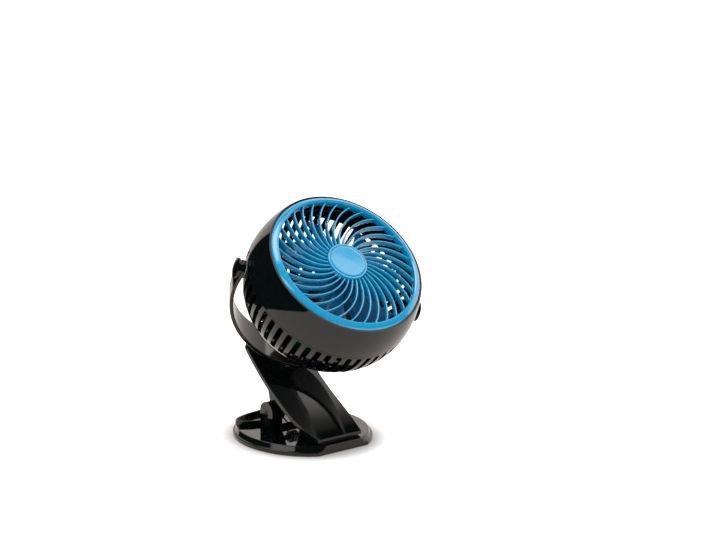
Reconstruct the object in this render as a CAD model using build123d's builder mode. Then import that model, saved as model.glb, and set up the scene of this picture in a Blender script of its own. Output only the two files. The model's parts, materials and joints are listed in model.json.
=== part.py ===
from build123d import *
from math import asin, atan2, cos, degrees, pi, radians, sin, sqrt, tan
import os

# Clip fan: a spring clip whose lower jaw is the base plate and whose upper jaw is the leg. The leg carries a
# U-shaped yoke on a swivel, and the yoke carries the barrel-shaped fan head on two pivots.
# Millimetres. +Z is up, the front of the base faces -Y, and the origin is on the underside of the sole.

os.makedirs("parts", exist_ok=True)

# ---- Clearances ----
seat_gap = 0.05          # between two pieces that rest on each other
running_gap = 0.3        # between faces of pieces that move past each other
bore_gap = 0.08          # radial, round a shaft that turns
seam_gap = 0.3           # shadow line between two covers

# ---- Base, the lower jaw ----
base_half_width = 50.2
base_half_length = 57.0
front_cut = 6.1          # cut off the ellipse by the flat front
base_lift = 0.5          # the shell's rim clears the surface by this
flange_height = 3.0
flange_ledge = 1.6       # flange outside the foot of the body
body_lean = 23.0         # slope of the body's flank, in degrees
deck_height = 7.0        # flat top of the base
raised_height = 10.4     # top of the dish's wall and of the bed between the hinge ears
dish_y = 32.0
dish_half_width = 36.5
dish_half_length = 11.5
dish_wall = 1.6
pocket_inset = 7.5
pocket_height = 4.4
sole_thickness = 1.2
cover_thickness = 1.4
weight_inset = 5.0
weight_thickness = 1.6
flange_round = 0.9
rim_round = 0.8
wall_round = 0.5

# ---- Hinge of the clip ----
hinge_y = 13.0
hinge_z = 18.6
ear_radius = 8.0
ear_inner = 15.0
ear_outer = 24.0
pin_radius = 2.0
pin_fit = 0.03           # radial, where the pin is fixed in the ears
lug_radius = 7.0
lug_thickness = 3.2
lug_front_y = -2.0       # where the lugs meet the leg
lug_rear_y = 29.0

# ---- Leg, the upper jaw ----
lean = 41.1              # slope of the leg at the swivel, in degrees
swivel_foot_y = 24.5     # where the swivel axis meets the top of the leg
swivel_foot_z = 52.5
leg_width = 48.5
leg_thickness = 3.4
leg_tail = 24.0          # beyond the swivel axis
leg_sweep_radius = 224.0
leg_corner = 8.0
leg_edge_round = 0.3
tip_width = 39.7
taper_length = 34.0      # of the part that narrows to the tip
tip_setback = 4.65       # from the base's front edge to the tip
tip_length = 12.0
pad_width = 36.0
pad_length = 9.5
pad_thickness = 1.0
pad_bed_depth = 0.9      # of the lower pad's bed in the deck
pad_groove = 0.45
pad_groove_count = 4

# ---- Spring ----
wire_radius = 0.6
coil_radius = 3.9        # to the middle of the wire
coil_pitch = 1.68
coil_half_turns = 8
lower_wire_angle = -24.0
upper_wire_angle = 62.0
upper_wire_length = 13.0
bar_radius = 1.6

# ---- Swivel ----
swivel_boss_radius = 12.5
swivel_boss_height = 8.1
swivel_washer_radius = 11.5
swivel_washer_thickness = 1.0
slot_width = 0.9         # of the cross slots in all screw heads
swivel_bolt_radius = 2.5
swivel_head_radius = 4.6
swivel_head_height = 2.6
wave_washer_thickness = 0.6
nut_radius = 4.5
nut_height = 3.2

# ---- Yoke ----
yoke_clearance = 0.8     # round the widest part of the head
yoke_thickness = 2.8
yoke_straight = 8.0
yoke_edge_round = 0.6
yoke_arm_width = 13.4
yoke_base_width = 26.7
yoke_pad_radius = 11.0
yoke_pad_height = 3.8
yoke_pad_drop = 0.6
yoke_boss_radius = 5.9
yoke_boss_length = 4.7
counterbore_radius = 4.6
counterbore_depth = 2.3

# ---- Pivots ----
pivot_boss_radius = 6.2
pivot_boss_length = 9.5
pivot_washer_thickness = 0.5
pivot_screw_radius = 1.5
pivot_screw_head_radius = 3.2
pivot_screw_head_height = 1.9
pivot_screw_reach = 9.0  # into the head's pivot boss
cap_radius = 7.6
cap_rim = 1.3
cap_dome = 1.5
cap_spigot_wall = 0.95
cap_spigot_length = 1.3

# ---- Pose in the photograph ----
swivel_angle = -26.5     # of the yoke about the swivel axis
tilt_angle = 3.6         # of the head about its pivots

# ---- Head: heights are along its axis from the pivots, positive to the front ----
head_radius = 65.0       # at the seam, where the head is widest
head_wall = 2.3
band_front = 33.8
band_front_narrowing = 5.6
band_waist_height = 22.5
band_waist_narrowing = 1.9
seam_height = 9.0
lap_length = 2.6
lap_thickness = 1.1
band_lip_width = 1.2
grille_seat = 31.0
grille_seat_width = 2.3
shoulder_height = -16.0
shoulder_narrowing = 4.8
rear_edge_height = -38.0
cell_room = 8.5          # between the ends of the battery holder and the rear edge, seen from behind
rear_height = -45.0
rear_edge_width = 13.0   # of the rounded rear edge, along the radius
rear_bulge = 1.5         # of the rounded rear edge outside its chord

# ---- Side and rear vents ----
vent_count = 52
vent_width = 4.2
vent_top = 7.7
vent_bottom = -20.5
vent_corner = 1.5
vent_clear = 8.0         # no vent is nearer than this to a pivot, in degrees
rear_vent_count = 26
rear_vent_width = 3.0
rear_vent_inset = 9.0    # of the inner ends of the rear vents, from the rear edge
rear_vent_overrun = 3.0  # of their outer ends
rear_vent_corner = 1.35
rear_vent_reach = -30.4  # the rear vents are cut from behind up to this height

# ---- Grille ----
ring_clearance = 0.2     # inside the lip of the front band
ring_outer_height = 33.5
ring_width = 4.1
ring_inner_height = 37.0
ring_wall = 2.1
ring_bevel = 1.1
ring_crown = 0.5
vane_count = 33
vane_thickness = 1.1
vane_front = 35.0
vane_depth = 4.2
vane_turn = 36.8         # of each vane from the hub to the ring, in degrees, clockwise from the front
vane_turn_half = 17.0    # at half way
hub_radius = 15.2
hub_front = 36.0
hub_rim = 1.6
hub_recess = 1.2         # the hub cap's seat is this deep
hub_cap_height = 1.35
hub_cap_bevel = 0.4
hub_cap_dome = 0.4

# ---- Impeller and motor ----
blade_count = 7
blade_clearance = 2.8    # inside the bore of the grille's ring
blade_root_chord = 15.0
blade_tip_chord = 25.0
blade_root_pitch = 48.0
blade_tip_pitch = 27.0
blade_thickness = 1.6
impeller_hub_radius = 15.0
impeller_hub_round = 2.5
blade_root_depth = 3.0   # of the blades inside the hub's rim
impeller_hub_bottom = 7.5
impeller_hub_top = 22.5
shaft_radius = 1.0
shaft_top = 19.0
motor_radius = 12.0
motor_top = 4.0
motor_nose_radius = 3.0
motor_nose_height = 2.0
motor_end_height = 2.6
mount_floor = -19.0      # the posts of the rear housing end here
mount_thickness = 2.0
mount_radius = 26.5
mount_cup_wall = 2.2
mount_cup_height = 12.0
standoff_offset = 15.6
standoff_radius = 3.2
mount_screw_radius = 1.25
mount_screw_head_radius = 2.4
mount_screw_head_height = 1.6
mount_screw_length = 9.0

# ---- Battery, board and controls ----
cell_radius = 9.1
cell_length = 65.0
cell_height = -29.6
cell_button_radius = 2.8
cell_button_height = 0.6
holder_end_wall = 2.0
holder_corner = 1.5
holder_width = 20.4
holder_bottom = -39.7
holder_top = -30.5
holder_rib_offset = 20.0
board_width = 22.0
board_length = 16.5
board_near = -12.6       # edge of the board nearest the head's axis
board_rear = -38.3
board_thickness = 1.6
switch_size = 6.0
switch_height = 2.3
button_offset = -17.5
button_radius = 4.6
button_flange = 1.0
button_proud = 1.2
button_round = 0.6
socket_offset = -26.0
socket_width = 8.9
socket_height = 3.2
socket_wall = 0.3
socket_recess = 0.3      # the socket's mouth stands this far inside the rear face
tongue_width = 6.7
tongue_thickness = 0.7
lens_radius = 1.2
lens_offset_x = 7.2
lens_offset_y = -19.0


def save(piece, name):
    """Names a piece and writes its file."""
    piece.label = name
    export_step(piece, "parts/" + name + ".step")


def dome_middle(radius, rise):
    """Half-way point of the section of a dome on a rim: its radius and its height above the rim."""
    sphere = (radius ** 2 + rise ** 2) / (2 * rise)
    return radius / 2, sqrt(sphere ** 2 - radius ** 2 / 4) - sphere + rise


def arc_reach(upper, middle, lower):
    """Largest radius on the arc through three points of a section, each a radius and a height."""
    (r1, h1), (r2, h2), (r3, h3) = upper, middle, lower
    across = ((r2 ** 2 - r1 ** 2 + h2 ** 2 - h1 ** 2) / 2, (r3 ** 2 - r1 ** 2 + h3 ** 2 - h1 ** 2) / 2)
    turn = (r2 - r1) * (h3 - h1) - (r3 - r1) * (h2 - h1)
    centre_radius = (across[0] * (h3 - h1) - across[1] * (h2 - h1)) / turn
    centre_height = (across[1] * (r2 - r1) - across[0] * (r3 - r1)) / turn
    if centre_height > h1:
        return r1
    return centre_radius + sqrt((r1 - centre_radius) ** 2 + (h1 - centre_height) ** 2)


# ---- Radii and places that follow from the sizes above ----
base_front = base_half_length - front_cut       # from the origin to the flat front edge
tip_y = tip_setback - base_front
lower_pad_floor = deck_height - pad_bed_depth
tip_floor = lower_pad_floor + running_gap + 2 * pad_thickness
yoke_outer_radius = head_radius + yoke_clearance + yoke_thickness
band_front_radius = head_radius - band_front_narrowing
band_waist_radius = head_radius - band_waist_narrowing
shoulder_radius = head_radius - shoulder_narrowing
rear_edge_radius = cell_length / 2 + holder_end_wall + cell_room
flank_reach = arc_reach((head_radius, seam_height - seam_gap), (shoulder_radius, shoulder_height),
                        (rear_edge_radius, rear_edge_height))
pivot_face = max(head_radius, flank_reach - seat_gap)   # from the head's axis to its pivot bosses' faces
rear_flat_radius = rear_edge_radius - rear_edge_width
rear_vent_inner = rear_edge_radius - rear_vent_inset
rear_vent_outer = rear_edge_radius + rear_vent_overrun
ring_radius = band_front_radius - band_lip_width - ring_clearance
ring_inner_radius = ring_radius - ring_width
blade_tip_radius = ring_inner_radius - ring_bevel - blade_clearance

# ---- Frames ----
lean_sin, lean_cos = sin(radians(lean)), cos(radians(lean))
swivel_dir = Vector(0, -lean_sin, lean_cos)
up_leg = Vector(0, lean_cos, lean_sin)
foot = Vector(0, swivel_foot_y, swivel_foot_z)
yoke_drop = yoke_outer_radius + yoke_straight + yoke_pad_drop   # pivots to the yoke's underside
pivot_rise = swivel_boss_height + swivel_washer_thickness + 2 * seat_gap + yoke_drop
pivot_centre = foot + swivel_dir * pivot_rise
pivot_dir = Vector(1, 0, 0) * cos(radians(swivel_angle)) + up_leg * sin(radians(swivel_angle))
head_dir = swivel_dir.rotate(Axis((0, 0, 0), tuple(pivot_dir)), tilt_angle)

swivel_plane = Plane(origin=foot, x_dir=(1, 0, 0), z_dir=swivel_dir)
yoke_plane = Plane(origin=pivot_centre, x_dir=pivot_dir, z_dir=swivel_dir)
head_plane = Plane(origin=pivot_centre, x_dir=pivot_dir, z_dir=head_dir)
right_plane = Plane(origin=pivot_centre, x_dir=swivel_dir, z_dir=pivot_dir)
left_plane = Plane(origin=pivot_centre, x_dir=swivel_dir, z_dir=-pivot_dir)


def base_outline(inset, front_inset=0.0):
    """The flat-fronted ellipse that each layer of the base follows."""
    with BuildSketch() as outline:
        Ellipse(base_half_width - inset, base_half_length - inset)
        with Locations((0, front_inset - base_front - base_half_length)):
            Rectangle(2 * base_half_width, 2 * base_half_length, mode=Mode.SUBTRACT)
    return outline.sketch


# ---- Base shell: flange, tapered body, raised dish, hinge ears on a bed, pocket underneath ----
flange_top = base_lift + flange_height
body_foot_width = base_half_width - flange_ledge
body_foot_length = base_half_length - flange_ledge
pad_front = tip_y + (tip_length - pad_length) / 2

with BuildPart() as base_shell:
    with BuildSketch(Plane.XY.offset(base_lift)):
        Ellipse(base_half_width, base_half_length)
    extrude(amount=flange_height)
    fillet(base_shell.edges().group_by(Axis.Z)[-1], flange_round)
    with BuildSketch(Plane.XY.offset(flange_top)):
        Ellipse(body_foot_width, body_foot_length)
    extrude(amount=deck_height - flange_top, taper=body_lean)
    fillet(base_shell.edges().group_by(Axis.Z)[-1], rim_round)
    with BuildSketch(Plane.XY):         # flat front
        with Locations((0, -base_front - base_half_length / 2)):
            Rectangle(2 * base_half_width, base_half_length)
    extrude(amount=2 * deck_height, mode=Mode.SUBTRACT)
    with BuildPart(mode=Mode.PRIVATE) as dish:
        with BuildSketch(Plane.XY.offset(deck_height - rim_round)):
            with Locations((0, dish_y)):
                Ellipse(dish_half_width + dish_wall, dish_half_length + dish_wall)
        extrude(amount=raised_height - deck_height + rim_round)
        with BuildSketch(Plane.XY.offset(deck_height)):
            with Locations((0, dish_y)):
                Ellipse(dish_half_width, dish_half_length)
        extrude(amount=raised_height - deck_height, mode=Mode.SUBTRACT)
        fillet(dish.edges().group_by(Axis.Z)[-1], wall_round)
    add(dish.part)
    with BuildSketch(Plane.YZ.offset(ear_inner), Plane.YZ.offset(-ear_outer)):
        with Locations((hinge_y, hinge_z)):
            Circle(ear_radius)
        with Locations((hinge_y, (hinge_z + flange_top) / 2)):
            Rectangle(2 * ear_radius, hinge_z - flange_top)
    extrude(amount=ear_outer - ear_inner)
    with BuildSketch(Plane.YZ):         # bed between the ears
        with Locations((hinge_y, (raised_height + flange_top) / 2)):
            Rectangle(2 * ear_radius, raised_height - flange_top)
    extrude(amount=ear_outer, both=True)
    with BuildSketch(Plane.YZ):
        with Locations((hinge_y, hinge_z)):
            Circle(pin_radius + pin_fit)
    extrude(amount=2 * ear_outer, both=True, mode=Mode.SUBTRACT)
    with BuildSketch(Plane.XY.offset(lower_pad_floor)):     # bed of the lower jaw pad
        with Locations((0, pad_front + pad_length / 2)):
            Rectangle(pad_width + 2 * seat_gap, pad_length + 2 * seat_gap)
    extrude(amount=deck_height, mode=Mode.SUBTRACT)
    with BuildSketch(Plane.XY):
        add(base_outline(pocket_inset, pocket_inset))
    extrude(amount=pocket_height, mode=Mode.SUBTRACT)
save(base_shell.part, "base_shell")

with BuildPart() as base_sole:
    with BuildSketch():
        add(base_outline(pocket_inset + seat_gap, pocket_inset + seat_gap))
    extrude(amount=sole_thickness)
save(base_sole.part, "base_sole")

cover_top = sole_thickness + cover_thickness
with BuildPart() as base_cover:
    with BuildSketch(Plane.XY.offset(sole_thickness)):
        add(base_outline(pocket_inset + seat_gap, pocket_inset + seat_gap))
    extrude(amount=cover_thickness)
save(base_cover.part, "base_cover")

with BuildPart() as base_weight:
    with BuildSketch(Plane.XY.offset(cover_top)):
        add(base_outline(pocket_inset + weight_inset, pocket_inset + weight_inset))
    extrude(amount=weight_thickness)
save(base_weight.part, "base_weight")


def jaw_pad(floor, front, groove_side):
    """A ribbed rubber strip across the jaw, with its ribs on the side away from its seat."""
    with BuildPart() as pad:
        with Locations((0, front + pad_length / 2, floor + pad_thickness / 2)):
            Box(pad_width, pad_length, pad_thickness)
        groove_step = pad_length / (pad_groove_count + 1)
        groove_z = floor + (pad_thickness if groove_side > 0 else 0)
        with Locations(*[(0, front + groove_step * (k + 1), groove_z) for k in range(pad_groove_count)]):
            Box(pad_width, groove_step / 2, 2 * pad_groove, mode=Mode.SUBTRACT)
    return pad.part


save(jaw_pad(lower_pad_floor, pad_front, 1), "lower_jaw_pad")
save(jaw_pad(tip_floor - pad_thickness, pad_front, -1), "upper_jaw_pad")

# ---- Leg: one sweep from the tail, through the swivel, to the flatter and narrower jaw tip ----
sweep_centre = foot + swivel_dir * leg_sweep_radius
tail_slope = lean + degrees(leg_tail / leg_sweep_radius)
tip_slope = degrees(asin((tip_y - sweep_centre.Y) / leg_sweep_radius))


def on_sweep(slope, depth):
    """A point of the leg, where it has this slope, this far below its top face."""
    reach = leg_sweep_radius + depth
    return (sweep_centre.Y + reach * sin(radians(slope)), sweep_centre.Z - reach * cos(radians(slope)))


def leg_middle(y):
    """Height of the middle of the leg's wall at a place."""
    reach = leg_sweep_radius + leg_thickness / 2
    return sweep_centre.Z - sqrt(reach ** 2 - (y - sweep_centre.Y) ** 2)


mid_slope = (tip_slope + tail_slope) / 2
lug_outer = ear_inner - running_gap
tip_rear_slope = degrees(asin((tip_y + tip_length - sweep_centre.Y) / leg_sweep_radius))
upper_aim = Vector(0, cos(radians(upper_wire_angle)), sin(radians(upper_wire_angle)))
upper_side = Vector(0, -upper_aim.Z, upper_aim.Y)
hinge = Vector(0, hinge_y, hinge_z)
upper_wire_start = hinge + upper_side * coil_radius
bar_centre = (upper_wire_start + upper_aim * (upper_wire_length - bar_radius)
              + upper_side * (bar_radius + wire_radius + running_gap))
swivel_bore = swivel_bolt_radius + bore_gap

with BuildPart() as clip_leg:
    with BuildSketch(Plane.YZ):
        with BuildLine():
            ThreePointArc(on_sweep(tail_slope, 0), on_sweep(mid_slope, 0), on_sweep(tip_slope, 0))
            Line(on_sweep(tip_slope, 0), on_sweep(tip_slope, leg_thickness))
            ThreePointArc(on_sweep(tip_slope, leg_thickness), on_sweep(mid_slope, leg_thickness),
                          on_sweep(tail_slope, leg_thickness))
            Line(on_sweep(tail_slope, leg_thickness), on_sweep(tail_slope, 0))
        make_face()
        with BuildLine():               # the block behind the flat tip, which carries the upper jaw pad
            Polyline((tip_y, tip_floor), on_sweep(tip_slope, 0),
                     (tip_y + tip_length, on_sweep(tip_rear_slope, leg_thickness / 2)[1]),
                     (tip_y + tip_length, tip_floor), close=True)
        make_face()
        with Locations((tip_y + tip_length / 2, tip_floor - leg_thickness / 2)):
            Rectangle(2 * tip_length, leg_thickness, mode=Mode.SUBTRACT)
    extrude(amount=leg_width / 2, both=True)
    with BuildSketch(Plane.XY):         # seen from above, the sides close in on the tip
        taper_end, plan_end = tip_y + taper_length, leg_width - tip_y
        with BuildLine():
            TangentArc((leg_width / 2, taper_end), (tip_width / 2, tip_y), tangent=(0, -1))
            Polyline((tip_width / 2, tip_y), (tip_width / 2, 2 * tip_y), (-tip_width / 2, 2 * tip_y),
                     (-tip_width / 2, tip_y))
            TangentArc((-leg_width / 2, taper_end), (-tip_width / 2, tip_y), tangent=(0, -1))
            Polyline((-leg_width / 2, taper_end), (-leg_width / 2, plan_end), (leg_width / 2, plan_end),
                     (leg_width / 2, taper_end))
        make_face()
    extrude(amount=2 * leg_width - 2 * tip_y, mode=Mode.INTERSECT)
    with BuildSketch(swivel_plane):     # rounded corners at the tail
        with Locations((0, leg_tail - leg_sweep_radius)):
            RectangleRounded(leg_width, 2 * leg_sweep_radius, leg_corner)
    extrude(amount=leg_sweep_radius, both=True, mode=Mode.INTERSECT)
    long_edges = clip_leg.edges().filter_by(lambda edge: edge.length > tip_length + leg_thickness)
    fillet(long_edges.filter_by(lambda edge: abs(edge.center().X) > tip_width / 4), leg_edge_round)
    with BuildSketch(swivel_plane.offset(-leg_thickness / 2)):
        Circle(swivel_boss_radius)
    extrude(amount=swivel_boss_height + leg_thickness / 2)
    lug_plane = Plane.YZ.offset(lug_outer - lug_thickness)
    with BuildSketch(lug_plane, Plane.YZ.offset(-lug_outer)):
        with Locations((hinge_y, hinge_z)):
            Circle(lug_radius)
        with BuildLine():
            Polyline((hinge_y - lug_radius, hinge_z), (lug_front_y, leg_middle(lug_front_y)),
                     (lug_rear_y, leg_middle(lug_rear_y)), (hinge_y + lug_radius, hinge_z), close=True)
        make_face()
    extrude(amount=lug_thickness)
    with BuildSketch(Plane.YZ):         # bar that the spring's upper wire pushes against
        with Locations((bar_centre.Y, bar_centre.Z)):
            Circle(bar_radius)
    extrude(amount=lug_outer - lug_thickness / 2, both=True)
    with BuildSketch(Plane.YZ):
        with Locations((hinge_y, hinge_z)):
            Circle(pin_radius + bore_gap)
    extrude(amount=lug_outer, both=True, mode=Mode.SUBTRACT)
    with BuildSketch(swivel_plane.offset(-2 * leg_thickness)):
        Circle(swivel_bore)
    extrude(amount=swivel_boss_height + 3 * leg_thickness, mode=Mode.SUBTRACT)
save(clip_leg.part, "clip_leg")

with BuildPart() as hinge_pin:
    with BuildSketch(Plane.YZ):
        with Locations((hinge_y, hinge_z)):
            Circle(pin_radius)
    extrude(amount=ear_outer, both=True)
save(hinge_pin.part, "hinge_pin")

# ---- Torsion spring: half turns, each in its own tilted plane, so that they join without a kink ----
lower_aim = Vector(0, cos(radians(lower_wire_angle)), sin(radians(lower_wire_angle)))
lower_side = Vector(0, lower_aim.Z, -lower_aim.Y)
lower_wire_start = hinge + lower_side * coil_radius
lower_wire_length = (lower_wire_start.Z - raised_height - wire_radius - seat_gap) / -lower_aim.Z
coil_start_x = -(coil_half_turns + 1) * coil_pitch / 4      # set over, to leave room for the upper wire


def coil_point(half_turn, side):
    """End of a half turn. Even ones lie on the lower wire's side of the pin, odd ones across it."""
    sign = 1 if half_turn % 2 == 0 else -1
    return hinge + side * (coil_radius * sign) + Vector(coil_start_x + half_turn * coil_pitch / 2, 0, 0)


def coil_middle(half_turn, side, aim):
    """Middle of the half turn that starts at this end."""
    start, end = coil_point(half_turn, side), coil_point(half_turn + 1, side)
    sign = -1 if half_turn % 2 == 0 else 1
    return (start + end) * 0.5 + aim * ((end - start).length / 2 * sign)


with BuildPart() as torsion_spring:
    with BuildLine() as spring_path:
        first = coil_point(0, lower_side)
        Line(first + lower_aim * lower_wire_length, first)
        for half_turn in range(coil_half_turns):
            ThreePointArc(coil_point(half_turn, lower_side), coil_middle(half_turn, lower_side, lower_aim),
                          coil_point(half_turn + 1, lower_side))
        # the last part turn brings the wire round to the leg's side
        part_turn = radians(180 + lower_wire_angle - upper_wire_angle)
        end_x = coil_start_x + coil_half_turns * coil_pitch / 2 + coil_pitch * part_turn / (2 * pi)
        end = (hinge + Vector(end_x, 0, 0) + lower_side * (coil_radius * cos(part_turn))
               - lower_aim * (coil_radius * sin(part_turn)))
        last_arc = TangentArc(coil_point(coil_half_turns, lower_side), end, tangent=-lower_aim)
        Line(end, end + (last_arc % 1) * upper_wire_length)
    spring_wire = Wire(spring_path.edges())
    with BuildSketch(Plane(origin=spring_wire @ 0, z_dir=spring_wire % 0)):
        Circle(wire_radius)
    sweep(path=spring_wire)
save(torsion_spring.part, "torsion_spring")
spring_points = [spring_wire @ (k / 400) for k in range(401)]
spring_gap = min((a - b).length for i, a in enumerate(spring_points)
                 for b in spring_points[i + 30:]) - 2 * wire_radius
print("spring volume", torsion_spring.part.volume,
      "section times length", pi * wire_radius ** 2 * spring_wire.length, "least gap to itself", spring_gap)


def disc(plane, radius, bottom, height, bore=0.0):
    """A plain disc or ring on a plane, from a height above it."""
    with BuildPart() as piece:
        with BuildSketch(plane.offset(bottom)):
            Circle(radius)
            if bore > 0:
                Circle(bore, mode=Mode.SUBTRACT)
        extrude(amount=height)
    return piece.part


# ---- Swivel: washer, bolt through the yoke, wave washer and nut ----
washer_bottom = swivel_boss_height + seat_gap
save(disc(swivel_plane, swivel_washer_radius, washer_bottom, swivel_washer_thickness, swivel_bore),
     "swivel_washer")
yoke_underside = washer_bottom + swivel_washer_thickness + seat_gap
yoke_pad_top = yoke_underside + yoke_pad_height
wave_bottom = yoke_pad_top + seat_gap
save(disc(swivel_plane, swivel_head_radius, wave_bottom, wave_washer_thickness, swivel_bore),
     "swivel_wave_washer")
head_bottom = wave_bottom + wave_washer_thickness + seat_gap
nut_top = -leg_thickness - seat_gap

with BuildPart() as swivel_bolt:
    with BuildSketch(swivel_plane.offset(nut_top - nut_height)):
        Circle(swivel_bolt_radius)
    extrude(amount=head_bottom - nut_top + nut_height + swivel_head_height / 2)
    with BuildSketch(swivel_plane.offset(head_bottom)):
        Circle(swivel_head_radius)
    extrude(amount=swivel_head_height)
    with BuildSketch(swivel_plane.offset(head_bottom + swivel_head_height / 2)):
        Rectangle(swivel_head_radius, slot_width)
        Rectangle(slot_width, swivel_head_radius)
    extrude(amount=swivel_head_height, mode=Mode.SUBTRACT)
save(swivel_bolt.part, "swivel_bolt")

with BuildPart() as swivel_nut:
    with BuildSketch(swivel_plane.offset(nut_top - nut_height)):
        RegularPolygon(nut_radius, 6)
        Circle(swivel_bolt_radius + pin_fit, mode=Mode.SUBTRACT)
    extrude(amount=nut_height)
save(swivel_nut.part, "swivel_nut")


def yoke_face(radius):
    """The U that the yoke's outside or inside follows, open at the top."""
    with BuildSketch() as face:
        with Locations((0, -yoke_straight)):
            Circle(radius)
        with Locations((0, radius)):
            Rectangle(2 * radius, 2 * (radius + yoke_straight), mode=Mode.SUBTRACT)
        with Locations((0, (yoke_arm_width - yoke_straight) / 2)):
            Rectangle(2 * radius, yoke_arm_width + yoke_straight)
    return face.sketch


# ---- Yoke: built with its pivots on X and the swivel on Z, then placed ----
arm_half, base_half = yoke_arm_width / 2, yoke_base_width / 2
boss_start = pivot_face + pivot_washer_thickness + 2 * seat_gap
boss_end = boss_start + yoke_boss_length
mid_drop = yoke_drop / 2
mid_half = arm_half + (base_half - arm_half) / 4

with BuildPart() as yoke_local:
    with BuildSketch(Plane.XZ):
        add(yoke_face(yoke_outer_radius))
        add(yoke_face(yoke_outer_radius - yoke_thickness), mode=Mode.SUBTRACT)
    extrude(amount=yoke_base_width, both=True)
    with BuildSketch(Plane.YZ):     # seen from the side, the strip narrows towards the pivots
        with BuildLine():
            ThreePointArc((-arm_half, 0), (0, arm_half), (arm_half, 0))
            ThreePointArc((arm_half, 0), (mid_half, -mid_drop), (base_half, -yoke_drop))
            Line((base_half, -yoke_drop), (-base_half, -yoke_drop))
            ThreePointArc((-base_half, -yoke_drop), (-mid_half, -mid_drop), (-arm_half, 0))
        make_face()
    extrude(amount=2 * yoke_outer_radius, both=True, mode=Mode.INTERSECT)
    fillet(yoke_local.edges().filter_by(lambda edge: edge.length > yoke_straight), yoke_edge_round)
    with BuildSketch(Plane.XY.offset(-yoke_drop)):
        Circle(yoke_pad_radius)
    extrude(amount=yoke_pad_height)
    with BuildSketch(Plane.YZ.offset(boss_start), Plane.YZ.offset(-boss_end)):
        Circle(yoke_boss_radius)
    extrude(amount=yoke_boss_length)
    with BuildSketch(Plane.YZ):
        Circle(pivot_screw_radius + bore_gap)
    extrude(amount=2 * yoke_outer_radius, both=True, mode=Mode.SUBTRACT)
    with BuildSketch(Plane.YZ.offset(boss_end - counterbore_depth), Plane.YZ.offset(-boss_end)):
        Circle(counterbore_radius)
    extrude(amount=counterbore_depth, mode=Mode.SUBTRACT)
    with BuildSketch(Plane.XY.offset(-yoke_drop)):
        Circle(swivel_bore)
    extrude(amount=2 * yoke_pad_height, mode=Mode.SUBTRACT)
yoke = yoke_local.part.moved(yoke_plane.location)
save(yoke, "yoke")

# ---- Pivot hardware, the same on both sides ----
head_seat = boss_end - counterbore_depth + seat_gap
for side, plane in (("left", left_plane), ("right", right_plane)):
    save(disc(plane, yoke_boss_radius - running_gap, pivot_face + seat_gap, pivot_washer_thickness,
              pivot_screw_radius + bore_gap), side + "_pivot_washer")
    with BuildPart() as pivot_screw:
        with BuildSketch(plane.offset(pivot_face - pivot_screw_reach)):
            Circle(pivot_screw_radius)
        extrude(amount=head_seat - pivot_face + pivot_screw_reach + pivot_screw_head_height / 2)
        with BuildSketch(plane.offset(head_seat)):
            Circle(pivot_screw_head_radius)
        extrude(amount=pivot_screw_head_height)
        with BuildSketch(plane.offset(head_seat + pivot_screw_head_height / 2)):
            Rectangle(pivot_screw_head_radius, slot_width)
            Rectangle(slot_width, pivot_screw_head_radius)
        extrude(amount=pivot_screw_head_height, mode=Mode.SUBTRACT)
    save(pivot_screw.part, side + "_pivot_screw")
    with BuildPart() as pivot_cap:      # plain domed disc with a spigot in the yoke's counterbore
        with BuildSketch(Plane.XZ):
            with BuildLine():
                cap_seat = boss_end + seat_gap
                spigot_outer = counterbore_radius - seat_gap
                Polyline((0, cap_seat + cap_rim + cap_dome), (0, cap_seat),
                         (spigot_outer - cap_spigot_wall, cap_seat),
                         (spigot_outer - cap_spigot_wall, cap_seat - cap_spigot_length),
                         (spigot_outer, cap_seat - cap_spigot_length), (spigot_outer, cap_seat),
                         (cap_radius, cap_seat), (cap_radius, cap_seat + cap_rim))
                mid_radius, mid_rise = dome_middle(cap_radius, cap_dome)
                ThreePointArc((cap_radius, cap_seat + cap_rim), (mid_radius, cap_seat + cap_rim + mid_rise),
                              (0, cap_seat + cap_rim + cap_dome))
            make_face()
        revolve(axis=Axis.Z)
    save(pivot_cap.part.moved(plane.location), side + "_pivot_cap")

# ---- Head shells: revolved about the head's axis ----
lap_radius = head_radius - head_wall
lip_inner = band_front_radius - band_lip_width

with BuildPart() as front_band:
    with BuildSketch(Plane.XZ):
        with BuildLine():
            ThreePointArc((head_radius, seam_height), (band_waist_radius, band_waist_height),
                          (band_front_radius, band_front))
            Polyline((band_front_radius, band_front), (lip_inner, band_front), (lip_inner, grille_seat),
                     (lip_inner - grille_seat_width, grille_seat),
                     (lip_inner - grille_seat_width, grille_seat - head_wall),
                     (lip_inner, grille_seat - head_wall))
            ThreePointArc((lip_inner, grille_seat - head_wall),
                          (band_waist_radius - head_wall, band_waist_height - head_wall / 2),
                          (lap_radius - lap_thickness, seam_height))
            Polyline((lap_radius - lap_thickness, seam_height),
                     (lap_radius - lap_thickness, seam_height - lap_length),
                     (lap_radius - seat_gap, seam_height - lap_length), (lap_radius - seat_gap, seam_height),
                     (head_radius, seam_height))
        make_face()
    revolve(axis=Axis.Z)
save(front_band.part.moved(head_plane.location), "front_band")

vent_angles = [360 / vent_count * (k + 0.5) for k in range(vent_count)]
vent_angles = [a for a in vent_angles if min(a % 180, 180 - a % 180) > vent_clear]
rear_inner = rear_height + head_wall
# slope of the flank, on average
edge_slope = atan2(head_radius - rear_edge_radius, seam_height - rear_edge_height)


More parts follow.
